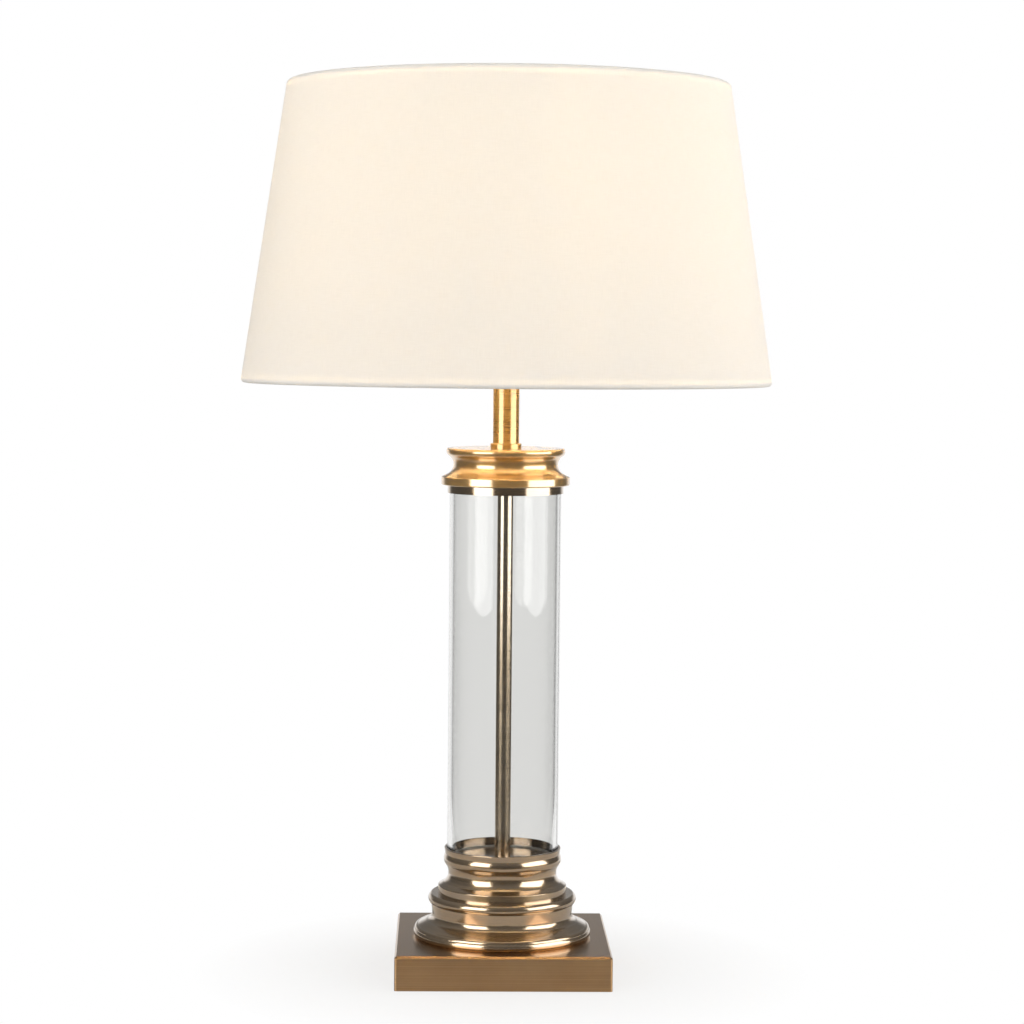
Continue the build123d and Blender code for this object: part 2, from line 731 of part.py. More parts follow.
def bulb_cap():
    collar_z = SCREW_TOP + SCREW_DEPTH
    return turned(
        (INSULATOR_TOP_R - INSULATOR_RIM, BULB_CAP_Z),
        (SCREW_MID_R - SCREW_DEPTH, BULB_CAP_Z),
        (SCREW_MID_R, SCREW_Z),
        *screw_arcs(SCREW_MID_R, SCREW_RIDGE_COUNT),
        (CAP_COLLAR_R, collar_z),
        (CAP_COLLAR_R, BULB_CAP_TOP),
        (CAP_COLLAR_BORE_R, BULB_CAP_TOP),
        (CAP_COLLAR_BORE_R, collar_z),
        (CAP_SKIN_BORE_R, SCREW_TOP),
        (CAP_SKIN_BORE_R, SCREW_Z),
        (INSULATOR_TOP_R - INSULATOR_RIM, SCREW_Z),
    )


def envelope_outline(inset):
    """Outline of the envelope, moved inwards by inset: neck, hollow flank and round crown."""
    crown_r = BULB_R - inset
    neck_r = BULB_NECK_R - inset
    angle = math.radians(BULB_FLANK_ANGLE)
    join = at(crown_r * math.cos(angle), BULB_EQUATOR - crown_r * math.sin(angle))
    down = at(-math.sin(angle), -math.cos(angle))
    flank_end = at(neck_r, BULB_FLANK_Z)
    crown_mid = at(crown_r * math.cos(angle / 2), BULB_EQUATOR + crown_r * math.sin(angle / 2))
    crown = ThreePointArc(at(0, BULB_EQUATOR + crown_r), crown_mid, join)
    flank = TangentArc(join, flank_end, tangent=down)
    neck = Line(flank_end, at(neck_r, BULB_NECK_Z))
    return [crown, flank, neck]


def bulb_envelope():
    outside = envelope_outline(0)
    inside = envelope_outline(BULB_WALL)
    crown_edge = Line(at(0, BULB_TOP), at(0, BULB_TOP - BULB_WALL))
    neck_edge = Line(at(BULB_NECK_R, BULB_NECK_Z), at(BULB_NECK_R - BULB_WALL, BULB_NECK_Z))
    return revolve(Face(Wire(outside + inside + [crown_edge, neck_edge])), Axis.Z)


def bulb_stem_top():
    return BULB_NECK_Z + BULB_STEM_LENGTH


def bulb_stem():
    foot_r = BULB_STEM_FLARE_R
    throat_z = BULB_NECK_Z + BULB_STEM_THROAT_RISE
    return turned(
        (0, BULB_NECK_Z),
        (foot_r, BULB_NECK_Z),
        (foot_r, BULB_NECK_Z + BULB_STEM_RIM),
        (BULB_STEM_THROAT_R, throat_z, BULB_STEM_R, BULB_NECK_Z + foot_r),
        (BULB_STEM_R, bulb_stem_top()),
        (0, bulb_stem_top()),
    )


def filament_cluster():
    foot_z = bulb_stem_top()
    hub_z = foot_z + FILAMENT_HEIGHT
    thickness = FILAMENT_DISC_THICKNESS
    cluster = Pos(0, 0, foot_z) * extrude(Circle(FILAMENT_DISC_R), thickness)
    cluster += Pos(0, 0, hub_z) * extrude(Circle(FILAMENT_HUB_R), thickness)
    cluster += Pos(0, 0, foot_z) * extrude(Circle(FILAMENT_POST_R), FILAMENT_HEIGHT)
    foot = (FILAMENT_DISC_R - FILAMENT_R, 0, foot_z + thickness / 2)
    head = (FILAMENT_HUB_R - FILAMENT_R, 0, hub_z + thickness / 2)
    filament = rod_between(foot, head, FILAMENT_R)
    for index in range(FILAMENT_COUNT):
        cluster += Rot(0, 0, index * 360 / FILAMENT_COUNT) * filament
    return cluster


# Shade ring and shade


def shade_ring():
    edge = SHADE_RING_CHAMFER
    low = SHADE_RING_Z
    high = SHADE_RING_Z + SHADE_RING_HEIGHT
    ring = turned(
        (SKIRT_R + SLIP, low),
        (SHADE_RING_R - edge, low),
        (SHADE_RING_R, low + edge),
        (SHADE_RING_R, high - edge),
        (SHADE_RING_R - edge, high),
        (SKIRT_R + SLIP, high),
    )
    flute = Pos(SHADE_RING_R, 0, low) * extrude(Circle(SHADE_RING_FLUTE_R), SHADE_RING_HEIGHT)
    for index in range(SHADE_RING_FLUTES):
        ring -= Rot(0, 0, index * 360 / SHADE_RING_FLUTES) * flute
    return ring


def wall_point(run, offset):
    """Half-section point run mm up the shade's wall line and offset mm outside it."""
    r = BOTTOM_RING_R - run * math.sin(WALL_LEAN) + offset * math.cos(WALL_LEAN)
    z = BOTTOM_RING_Z + run * math.cos(WALL_LEAN) + offset * math.sin(WALL_LEAN)
    return (r, z)


def wall_skin(run_low, run_high, inner, outer):
    """Conical skin of the shade between two offsets from the wall line."""
    return turned(
        wall_point(run_low, inner),
        wall_point(run_low, outer),
        wall_point(run_high, outer),
        wall_point(run_high, inner),
    )


def shade_cover():
    return wall_skin(0, WALL_RUN, ROLL_R - CLOTH, ROLL_R)


def liner_face():
    return ROLL_R - CLOTH - LAP


def shade_liner():
    return wall_skin(LINER_MARGIN, WALL_RUN - LINER_MARGIN, liner_face() - LINER, liner_face())


def seam_tape():
    outer = liner_face() - LINER - LAP
    skin = wall_skin(2 * LINER_MARGIN, WALL_RUN - 2 * LINER_MARGIN, outer - TAPE, outer)
    window = Box(TAPE_WIDTH, SHADE_BOTTOM_R, SHADE_HEIGHT, align=(Align.CENTER, Align.MIN, Align.MIN))
    return skin & Pos(0, 0, SHADE_BOTTOM) * window


def ring_wire(r, z, wire_r):
    circle = Plane(origin=at(r, z), x_dir=(1, 0, 0), z_dir=(0, -1, 0)) * Circle(wire_r)
    return revolve(circle, Axis.Z)


def rolled_hem(ring_r, ring_z, turn):
    """Cloth rolled round a ring wire from the wall line on, through the angle turn, in flats."""
    angles = [WALL_LEAN + turn * index / HEM_FLAT_COUNT for index in range(HEM_FLAT_COUNT + 1)]

    def ring_points(radius):
        return [(ring_r + radius * math.cos(angle), ring_z + radius * math.sin(angle)) for angle in angles]

    outside = ring_points(ROLL_R)
    inside = ring_points(ROLL_R - CLOTH)
    return turned(*outside, *reversed(inside))


def arm_ends():
    """Ends of an arm's centre line, at the fitter ring and at the bottom ring."""
    fitter_end = at(FITTER_R - ARM_INSET, SHOULDER_TOP + FITTER_THICKNESS / 2)
    return fitter_end, at(BOTTOM_RING_R, BOTTOM_RING_Z)


def spider():
    """Fitter ring with its arms, one of them to the back, cut to seat on the bottom ring."""
    frame = tube(FITTER_R, SKIRT_R + FITTER_GAP, SHOULDER_TOP, SHADE_RING_Z)
    arm = rod_between(*arm_ends(), WIRE_R)
    for index in range(ARM_COUNT):
        frame += Rot(0, 0, 90 + index * 360 / ARM_COUNT) * arm
    return frame - ring_wire(BOTTOM_RING_R, BOTTOM_RING_Z, WIRE_R + LAP)


def bottom_hem():
    """The cloth stops short of the arms, which come in from the inside and above."""
    fitter_end, ring_end = arm_ends()
    arm_rise = math.atan2(fitter_end[2] - ring_end[2], ring_end[0] - fitter_end[0])
    inner = ROLL_R - CLOTH
    arm_side = math.asin(WIRE_R / inner) + LOOSE / inner
    turn = WALL_LEAN + math.pi + arm_rise - arm_side
    return rolled_hem(BOTTOM_RING_R, BOTTOM_RING_Z, -turn)


def top_hem():
    return rolled_hem(TOP_RING_R, TOP_RING_Z, math.radians(TOP_HEM_RETURN))


PARTS = {
    "base_pad": base_pad,
    "plinth_shell": plinth_shell,
    "ballast": ballast,
    "cord_inlet_bush": cord_inlet_bush,
    "stem_washer": stem_washer,
    "stem_lock_washer": stem_lock_washer,
    "stem_nut": stem_nut,
    "lower_moulding": lower_moulding,
    "middle_ring": middle_ring,
    "upper_moulding": upper_moulding,
    "glass_cup": glass_cup,
    "lower_gasket": lambda: gasket(CUP_FLOOR_Z),
    "glass_column": glass_column,
    "stem_rod": stem_rod,
    "upper_gasket": lambda: gasket(GLASS_TOP),
    "cap_cup": cap_cup,
    "cap_moulding": cap_moulding,
    "neck_collar": neck_collar,
    "neck_tube": neck_tube,
    "holder_dome": holder_dome,
    "holder_grub_screw": holder_grub_screw,
    "holder_insert": holder_insert,
    "terminal_screws": terminal_screws,
    "holder_skirt": holder_skirt,
    "screw_shell": screw_shell,
    "centre_contact": centre_contact,
    "switch_shaft": switch_shaft,
    "switch_knob": switch_knob,
    "shade_ring": shade_ring,
    "bulb_tip_contact": bulb_tip_contact,
    "bulb_insulator": bulb_insulator,
    "bulb_cap": bulb_cap,
    "bulb_envelope": bulb_envelope,
    "bulb_stem": bulb_stem,
    "filament_cluster": filament_cluster,
    "shade_cover": shade_cover,
    "shade_liner": shade_liner,
    "seam_tape": seam_tape,
    "spider": spider,
    "bottom_ring": lambda: ring_wire(BOTTOM_RING_R, BOTTOM_RING_Z, WIRE_R),
    "top_ring": lambda: ring_wire(TOP_RING_R, TOP_RING_Z, WIRE_R),
    "bottom_hem": bottom_hem,
    "top_hem": top_hem,
}

os.makedirs("parts", exist_ok=True)
for name, make in PARTS.items():
    export_step(make(), f"parts/{name}.step")
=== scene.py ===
import math

import bpy
from bpy.props import FloatProperty, FloatVectorProperty, IntProperty, PointerProperty
from bpy.types import Operator, Panel, PropertyGroup
from mathutils import Matrix, Vector


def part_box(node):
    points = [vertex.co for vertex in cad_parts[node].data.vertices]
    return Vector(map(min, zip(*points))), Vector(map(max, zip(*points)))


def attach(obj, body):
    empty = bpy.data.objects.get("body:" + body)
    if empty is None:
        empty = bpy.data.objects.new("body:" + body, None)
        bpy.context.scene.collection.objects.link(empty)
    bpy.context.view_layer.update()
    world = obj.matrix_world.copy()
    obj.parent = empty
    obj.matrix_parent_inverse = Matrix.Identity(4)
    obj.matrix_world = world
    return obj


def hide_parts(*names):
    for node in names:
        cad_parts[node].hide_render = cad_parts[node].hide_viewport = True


bl_info = {
    "name": "Column table lamp",
    "version": (1, 0, 0),
    "blender": (4, 5, 0),
    "location": "3D View > Sidebar > Lamp",
    "description": "Finishes and dresses a brass and glass column table lamp",
    "category": "Object",
}

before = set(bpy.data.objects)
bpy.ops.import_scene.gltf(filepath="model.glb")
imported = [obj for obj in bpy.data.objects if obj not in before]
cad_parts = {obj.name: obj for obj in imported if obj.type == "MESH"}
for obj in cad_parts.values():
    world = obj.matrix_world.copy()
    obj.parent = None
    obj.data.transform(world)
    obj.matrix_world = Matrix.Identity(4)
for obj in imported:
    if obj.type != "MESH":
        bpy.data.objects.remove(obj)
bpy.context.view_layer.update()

SMOOTH_ANGLE = math.radians(40)  # edges flatter than this are shaded smooth

# Brass
PATINA_SHARE = 0.4  # share of the wear that comes from stains; the brush lines give the rest
SIDE_NORMAL = 0.7  # a face whose normal leans more than this to X is a left or right side
TOP_NORMAL = 0.6  # a face whose normal leans more than this upwards is the top

# The shade's cloth
BOTTOM_HEM_TURN = math.radians(152)  # how far the cloth rolls round each ring
TOP_HEM_TURN = math.radians(172)
HEM_STEPS = 8
WALL_STEPS = 24
WALL_BAND = 0.01  # metres from the middle of the wall's height where its facing is tested
SEAM_THICKNESS = 0.0003
THREAD_RADIUS = 0.150  # metres from the axis, where the threads have their pitch
SLUB_STRETCH = 0.05  # how fast a thread's thickness changes along it, against across it

# The floor's white, by distance from the lamp's axis
SHADOW_WHITE = 0.78  # share of white under the lamp
SHADOW_START = 0.08  # where it starts to get whiter
SHADOW_MARGIN = 0.005  # from where it is all white to the floor's front edge
MIRRORED_WHITE = 0.3, 0.42  # where metal starts to mirror white, and mirrors only white

# The bright window behind the lamp that metal and glass mirror, and where each edge fades out
WINDOW_TURN = math.radians(28), math.radians(42)
WINDOW_RISE = 0.08, 0.22  # upward part of the direction
FULL_ROOM_RISE = 0.9  # upward part of the direction at which the room has its full brightness

PANEL_DISTANCE = 1.6  # metres from the lamp's axis
PANEL_FOOT = 0.07  # metres from the floor to a panel's lower edge


# Sizes taken from the CAD parts


def ring_centre(node, wire):
    """Radius and height of the centre line of a wire ring."""
    low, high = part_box(node)
    return high.x - wire, (low.z + high.z) / 2


# Properties


def colour(name, description, default):
    """Colour property in linear light."""
    return FloatVectorProperty(
        name=name, description=description, default=default,
        subtype="COLOR", size=3, min=0.0, max=1.0)


def length(name, description, default):
    """Length property in metres."""
    return FloatProperty(
        name=name, description=description, default=default, min=0.0, unit="LENGTH")


def share(name, description, default):
    """Property from 0 to 1."""
    return FloatProperty(name=name, description=description, default=default, min=0.0, max=1.0)


def brightness(name, description, default):
    """Property for a light's or room's brightness."""
    return FloatProperty(name=name, description=description, default=default, min=0.0)


class LAMP_PG_brass(PropertyGroup):
    """Antique brass of the plinth, mouldings, stem, cap and neck."""

    turned_light: colour(
        "Turned brass", "Polished colour of the base mouldings", (0.465, 0.30, 0.125))
    turned_dark: colour("Turned patina", "Aged colour of the base mouldings", (0.275, 0.16, 0.06))
    plinth_light: colour("Plinth brass", "Polished colour of the plinth", (0.54, 0.34, 0.17))
    plinth_dark: colour("Plinth patina", "Aged colour of the plinth", (0.40, 0.235, 0.11))
    # The cap and neck colours are the mouldings' brass made lighter and warmer: painted warm light
    # from the lit bulb above them, on top of the brass's own colour.
    neck_brass_and_painted_bulb_light: colour("Neck brass", "Polished colour of the cap and neck", (0.76, 0.46, 0.145))
    neck_patina_and_painted_bulb_light: colour("Neck patina", "Aged colour of the cap and neck", (0.60, 0.34, 0.09))
    stem_light: colour("Stem brass", "Polished colour of the stem rod", (0.72, 0.57, 0.39))
    stem_dark: colour("Stem patina", "Aged colour of the stem rod", (0.50, 0.37, 0.23))
    roughness: share("Roughness", "Mean roughness of the satin brass", 0.24)
    line_pitch: length("Line pitch", "Spacing of the brush lines", 0.0006)
    line_depth: length("Line depth", "Depth of the brush lines", 0.000012)


class LAMP_PG_shade(PropertyGroup):
    """Cloth of the shade and what holds it."""

    cloth: colour("Cloth", "Colour of the woven cotton", (0.97, 0.955, 0.93))
    liner: colour("Liner", "Colour of the backing film", (0.97, 0.96, 0.94))
    cloth_thickness: length("Cloth thickness", "Thickness of the cloth", 0.0004)
    wire_radius: length("Wire radius", "Radius of the ring wires", 0.0013)
    seam_width: length("Seam width", "Meant width of the lap at the back, without effect", 0.010)
    thread_pitch: length("Thread pitch", "Spacing of the threads", 0.00042)
    segments: IntProperty(
        name="Segments", description="Flats round the shade", default=256, min=32, max=512)
    cloth_transmission: share(
        "Transmission", "Share of the light that gets through the cloth", 0.58)


class LAMP_PG_glass(PropertyGroup):
    """Clear glass of the column."""

    tint: colour("Tint", "Colour that the glass keeps", (0.86, 0.86, 0.85))
    ior: FloatProperty(
        name="IOR", description="Refractive index of the glass", default=1.32, min=1.0, max=2.5)


class LAMP_PG_bulb(PropertyGroup):
    """Lit bulb inside the shade."""

    glow: colour("Glow", "Colour of the lit envelope", (1.0, 0.72, 0.34))
    strength: brightness("Strength", "Brightness of the envelope", 58.0)


class LAMP_PG_stage(PropertyGroup):
    """Camera, floor and studio light."""

    camera_place: FloatVectorProperty(
        name="Camera place", description="Where the camera stands",
        default=(-0.0354, -1.7760, 0.4011), size=3, unit="LENGTH")
    camera_yaw: FloatProperty(
        name="Yaw", description="Camera turn towards +X",
        default=math.radians(1.276), unit="ROTATION")
    camera_pitch: FloatProperty(
        name="Pitch", description="Camera tilt down", default=math.radians(3.597), unit="ROTATION")
    camera_roll: FloatProperty(
        name="Roll", description="Camera roll", default=math.radians(0.5016), unit="ROTATION")
    lens: FloatProperty(name="Lens", description="Focal length in mm", default=99.81, min=10.0)
    room: brightness("Room", "Brightness of the room around the object", 0.28)
    front_room: brightness("Dark front", "Brightness of the room that the front mirrors", 0.11)
    left_panel: brightness("Left panel", "Radiance of the left panel", 4.4)
    right_panel: brightness("Right panel", "Radiance of the right panel", 3.8)
    floor_colour: colour("Floor", "Colour of the floor", (0.66, 0.66, 0.66))
    floor_side: length("Floor side", "Side of the floor under the lamp", 0.8)
    floor_front: length("Floor front", "From the lamp's axis to the floor's front edge", 0.2)


# Node helpers


def put(tree, socket, value):
    """Link a socket to another one, or set its constant."""
    if isinstance(value, bpy.types.NodeSocket):
        tree.links.new(value, socket)
    else:
        socket.default_value = value


def add(tree, kind, inputs=None, **settings):
    """Add a shader node with its settings and inputs."""
    node = tree.nodes.new("ShaderNode" + kind)
    for key, value in settings.items():
        setattr(node, key, value)
    for key, value in (inputs or {}).items():
        put(tree, node.inputs[key], value)
    return node


def maths(tree, operation, a, b=0.0):
    return add(tree, "Math", {0: a, 1: b}, operation=operation).outputs[0]


def spread(tree, value, low, high, from_low=0.0, from_high=1.0):
    """Map a value from one range to another."""
    inputs = {
        "Value": value, "From Min": from_low, "From Max": from_high, "To Min": low, "To Max": high}
    return add(tree, "MapRange", inputs).outputs["Result"]


def blend_values(tree, factor, a, b):
    return add(tree, "Mix", {0: factor, 2: a, 3: b}, data_type="FLOAT").outputs[0]


def blend_colours(tree, factor, a, b):
    return add(tree, "Mix", {0: factor, 6: a, 7: b}, data_type="RGBA").outputs[2]


def noise(tree, vector, scale, detail=2.0, roughness=0.5):
    inputs = {"Vector": vector, "Scale": scale, "Detail": detail, "Roughness": roughness}
    return add(tree, "TexNoise", inputs).outputs[0]


def rgba(triple):
    return (*triple, 1.0)


def new_finish(name):
    """Fresh material with its tree and shader."""
    material = bpy.data.materials.new(name)
    material.use_nodes = True
    return material, material.node_tree, material.node_tree.nodes["Principled BSDF"]


def object_place(tree):
    return add(tree, "TexCoord").outputs["Object"]


def emboss(tree, shader, height, strength, depth):
    """Give the surface a fine relief, and return its normals."""
    bump = add(tree, "Bump", {"Strength": strength, "Distance": depth, "Height": height})
    put(tree, shader.inputs["Normal"], bump.outputs[0])
    return bump.outputs[0]


def in_world(tree, direction):
    """A direction on the piece, turned with it into the world."""
    return add(
        tree, "VectorTransform", {0: direction},
        vector_type="VECTOR", convert_from="OBJECT", convert_to="WORLD").outputs[0]


def set_finish(material, *nodes):
    """Give CAD nodes this finish in every slot."""
    for name in nodes:
        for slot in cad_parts[name].material_slots:
            slot.material = material


# Brass


def turned_lines(tree, place, pitch):
    """Fine lines cut round the axis, as a lathe's abrasive leaves them."""
    parts = add(tree, "SeparateXYZ", {0: place})
    flat = add(tree, "CombineXYZ", {0: parts.outputs[0], 1: parts.outputs[1]})
    radius = add(tree, "VectorMath", {0: flat.outputs[0]}, operation="LENGTH").outputs["Value"]
    drift = maths(tree, "ADD", maths(tree, "MULTIPLY", parts.outputs[0], 23.0), parts.outputs[1])
    across = maths(tree, "MULTIPLY", radius, 1.0 / pitch)
    along = maths(tree, "MULTIPLY", parts.outputs[2], 1.0 / pitch)
    lines = add(tree, "CombineXYZ", {0: across, 1: along, 2: drift})
    return noise(tree, lines.outputs[0], 1.0, detail=3.0, roughness=0.6)


def turned_tangent(tree, place):
    """Direction round the axis, for the stretched highlight of turned metal."""
    parts = add(tree, "SeparateXYZ", {0: place})
    back = maths(tree, "MULTIPLY", parts.outputs[1], -1.0)
    around = in_world(tree, add(tree, "CombineXYZ", {0: back, 1: parts.outputs[0]}).outputs[0])
    return add(tree, "VectorMath", {0: around}, operation="NORMALIZE").outputs["Vector"]


def age_brass(tree, shader, lines, patina, colours, clean_from, clean_to):
    """Mix the aged and polished colours by wear, and return how roughness varies with it."""
    brushed = maths(tree, "MULTIPLY", lines, 1.0 - PATINA_SHARE)
    wear = maths(tree, "ADD", brushed, maths(tree, "MULTIPLY", patina, PATINA_SHARE))
    light, dark = colours
    clean = spread(tree, wear, 0.0, 1.0, clean_from, clean_to)
    put(tree, shader.inputs["Base Color"], blend_colours(tree, clean, rgba(dark), rgba(light)))
    return maths(tree, "ADD", spread(tree, lines, -0.05, 0.05), spread(tree, patina, -0.04, 0.04))


def turned_brass(name, colours, brass, roughness, stretch, metallic=1.0, coat=1.0):
    """Satin brass brushed round its axis, under lacquer. A metallic below 1 adds a matt glow."""
    material, tree, shader = new_finish(name)
    place = object_place(tree)
    lines = turned_lines(tree, place, brass.line_pitch)
    patina = noise(tree, place, 38.0, detail=4.0, roughness=0.6)
    uneven = age_brass(tree, shader, lines, patina, colours, clean_from=0.30, clean_to=0.62)
    put(tree, shader.inputs["Roughness"], maths(tree, "ADD", uneven, roughness))
    shader.inputs["Metallic"].default_value = metallic
    shader.inputs["Anisotropic"].default_value = stretch
    shader.inputs["Anisotropic Rotation"].default_value = 0.25
    put(tree, shader.inputs["Tangent"], turned_tangent(tree, place))
    shader.inputs["Coat Weight"].default_value = coat
    shader.inputs["Coat Roughness"].default_value = 0.13
    shader.inputs["Coat IOR"].default_value = 2.5
    emboss(tree, shader, lines, strength=0.5, depth=brass.line_depth)
    return material


def plinth_brass(brass):
    """Satin brass brushed straight along each side of the plinth."""
    material, tree, shader = new_finish("plinth_brass_finish")
    place = object_place(tree)
    facing = add(tree, "SeparateXYZ", {0: add(tree, "NewGeometry").outputs["True Normal"]})
    sideways = maths(tree, "ABSOLUTE", facing.outputs[0])
    side_wall = maths(tree, "GREATER_THAN", sideways, SIDE_NORMAL)
    top_face = maths(tree, "GREATER_THAN", facing.outputs[2], TOP_NORMAL)
    fine, coarse = 1.0 / brass.line_pitch, 6.0
    along_x = add(tree, "Mapping", {0: place, "Scale": (coarse, fine, fine)})
    along_y = add(tree, "Mapping", {0: place, "Scale": (fine, coarse, fine)})
    lines_x = noise(tree, along_x.outputs[0], 1.0, detail=3.0, roughness=0.6)
    lines_y = noise(tree, along_y.outputs[0], 1.0, detail=3.0, roughness=0.6)
    lines = blend_values(tree, side_wall, lines_x, lines_y)
    patina = noise(tree, place, 22.0, detail=4.0, roughness=0.6)
    colours = brass.plinth_light, brass.plinth_dark
    uneven = age_brass(tree, shader, lines, patina, colours, clean_from=0.32, clean_to=0.64)
    level = blend_values(tree, top_face, brass.roughness + 0.19, brass.roughness - 0.06)
    put(tree, shader.inputs["Roughness"], maths(tree, "ADD", uneven, level))
    shader.inputs["Metallic"].default_value = 1.0
    shader.inputs["Anisotropic"].default_value = 0.7
    upright, back = (0.0, 0.0, 1.0), (0.0, 1.0, 0.0)
    across = add(tree, "Mix", {0: top_face, 4: upright, 5: back}, data_type="VECTOR")
    put(tree, shader.inputs["Tangent"], in_world(tree, across.outputs[1]))
    shader.inputs["Coat Weight"].default_value = 0.5
    shader.inputs["Coat Roughness"].default_value = 0.1
    emboss(tree, shader, lines, strength=0.5, depth=brass.line_depth)
    return material


# Small fittings


def plain_metal(name, base, dark, roughness, scale):
    """Machined metal with faint stains."""
    material, tree, shader = new_finish(name)
    place = object_place(tree)
    stains = noise(tree, place, scale, detail=5.0, roughness=0.65)
    clean = spread(tree, stains, 0.0, 1.0, from_low=0.35, from_high=0.65)
    put(tree, shader.inputs["Base Color"], blend_colours(tree, clean, rgba(dark), rgba(base)))
    shader.inputs["Metallic"].default_value = 1.0
    uneven = spread(tree, stains, roughness - 0.06, roughness + 0.08)
    put(tree, shader.inputs["Roughness"], uneven)
    emboss(tree, shader, noise(tree, place, 2600.0), strength=0.35, depth=0.00002)
    return material


def moulded_plastic(name, base, roughness, grain, depth):
    """Moulded plastic, rubber or ceramic with a fine grain."""
    material, tree, shader = new_finish(name)
    place = object_place(tree)
    cloud = noise(tree, place, 60.0, detail=3.0)
    deep = tuple(0.75 * part for part in base)
    put(tree, shader.inputs["Base Color"], blend_colours(tree, cloud, rgba(deep), rgba(base)))
    uneven = spread(tree, cloud, roughness - 0.05, roughness + 0.08)
    put(tree, shader.inputs["Roughness"], uneven)
    emboss(tree, shader, noise(tree, place, grain, detail=3.0), strength=0.4, depth=depth)
    return material


# Modelling helpers


def deselect():
    if bpy.context.object and bpy.context.object.mode != "OBJECT":
        bpy.ops.object.mode_set(mode="OBJECT")
    bpy.ops.object.select_all(action="DESELECT")


def new_ring(name, points, segments):
    """Edge ring at the first (r, z) point, extruded and scaled through the rest."""
    deselect()
    r, z = points[0]
    bpy.ops.mesh.primitive_circle_add(vertices=segments, radius=r, location=(0, 0, 0))
    piece = bpy.context.object
    piece.name = name
    piece.data.name = name
    bpy.ops.object.mode_set(mode="EDIT")
    bpy.ops.mesh.select_all(action="SELECT")
    bpy.ops.transform.translate(value=(0, 0, z))
    for r_next, z_next in points[1:]:
        bpy.ops.mesh.extrude_region_move(TRANSFORM_OT_translate={"value": (0, 0, z_next - z)})
        ratio = r_next / r
        bpy.ops.transform.resize(value=(ratio, ratio, 1), center_override=(0, 0, 0))
        r, z = r_next, z_next
    bpy.ops.mesh.select_all(action="SELECT")
    bpy.ops.mesh.normals_make_consistent(inside=False)
    bpy.ops.object.mode_set(mode="OBJECT")
    return piece


def face_outwards(piece, is_outer):
    """Turn all faces so that the one that is_outer names looks away from the axis."""
    face = next(f for f in piece.data.polygons if is_outer(f.center))
    if face.normal.dot(Vector((face.center.x, face.center.y, 0))) < 0:
        bpy.ops.object.mode_set(mode="EDIT")
        bpy.ops.mesh.select_all(action="SELECT")
        bpy.ops.mesh.flip_normals()
        bpy.ops.object.mode_set(mode="OBJECT")


def thicken(piece, thickness, offset):
    """Give a sheet its thickness with an applied Solidify."""
    solid = piece.modifiers.new("thickness", "SOLIDIFY")
    solid.thickness = thickness
    solid.offset = offset
    solid.use_even_offset = True
    bpy.context.view_layer.objects.active = piece
    bpy.ops.object.modifier_apply(modifier=solid.name)


# Operators


class LAMP_OT_plinth(Operator):
    """Finish the square plinth in straight-brushed brass."""

    bl_idname = "lamp.plinth"
    bl_label = "Plinth"

    def execute(self, context):
        set_finish(plinth_brass(context.scene.lamp_brass), "plinth_shell")
        return {"FINISHED"}


class LAMP_OT_mouldings(Operator):
    """Finish the turned mouldings below and above the glass."""

    bl_idname = "lamp.mouldings"
    bl_label = "Turned mouldings"

    def execute(self, context):
        brass = context.scene.lamp_brass
        colours = brass.turned_light, brass.turned_dark
        base = turned_brass(
            "turned_brass_finish", colours, brass, brass.roughness - 0.02, stretch=0.75)
        set_finish(base, "lower_moulding", "middle_ring", "upper_moulding", "glass_cup", "cap_cup")
        # The cap's colours hold painted warm light from the bulb, on top of the brass's own colour.
        colours = brass.neck_brass_and_painted_bulb_light, brass.neck_patina_and_painted_bulb_light
        cap = turned_brass(
            "cap_brass_and_painted_bulb_light_finish", colours, brass, brass.roughness + 0.06, stretch=0.8, metallic=0.83)
        set_finish(cap, "cap_moulding")
        return {"FINISHED"}


class LAMP_OT_stem_and_neck(Operator):
    """Finish the stem rod, the neck, its collar and the holder's dome."""

    bl_idname = "lamp.stem_and_neck"
    bl_label = "Stem and neck"

    def execute(self, context):
        brass = context.scene.lamp_brass
        # The neck's colours hold painted warm light from the bulb, on top of the brass's own
        # colour.
        colours = brass.neck_brass_and_painted_bulb_light, brass.neck_patina_and_painted_bulb_light
        neck = turned_brass(
            "neck_brass_and_painted_bulb_light_finish", colours, brass, brass.roughness + 0.05,
            stretch=0.85, metallic=0.8, coat=0.4)
        set_finish(neck, "neck_collar", "neck_tube", "holder_dome")
        colours = brass.stem_light, brass.stem_dark
        stem = turned_brass("stem_brass_finish", colours, brass, brass.roughness, stretch=0.5)
        set_finish(stem, "stem_rod")
        return {"FINISHED"}


class LAMP_OT_glass_column(Operator):
    """Finish the clear glass column and its gaskets."""

    bl_idname = "lamp.glass_column"
    bl_label = "Glass column"

    def execute(self, context):
        glass = context.scene.lamp_glass
        clear, tree, shader = new_finish("clear_glass_finish")
        place = object_place(tree)
        shader.inputs["Base Color"].default_value = rgba(glass.tint)
        shader.inputs["Transmission Weight"].default_value = 1.0
        shader.inputs["IOR"].default_value = glass.ior
        cloud = noise(tree, place, 90.0, detail=4.0)
        haze = spread(tree, cloud, 0.0, 0.02, from_low=0.45, from_high=0.75)
        put(tree, shader.inputs["Roughness"], haze)
        draw = add(tree, "Mapping", {0: place, "Scale": (26.0, 26.0, 3.0)})
        emboss(tree, shader, noise(tree, draw.outputs[0], 1.0), strength=0.06, depth=0.0004)
        set_finish(clear, "glass_column")
        gasket = moulded_plastic(
            "clear_gasket_finish", (0.55, 0.54, 0.50), roughness=0.35, grain=1500.0, depth=0.00002)
        shader = gasket.node_tree.nodes["Principled BSDF"]
        shader.inputs["Transmission Weight"].default_value = 0.4
        set_finish(gasket, "lower_gasket", "upper_gasket")
        return {"FINISHED"}


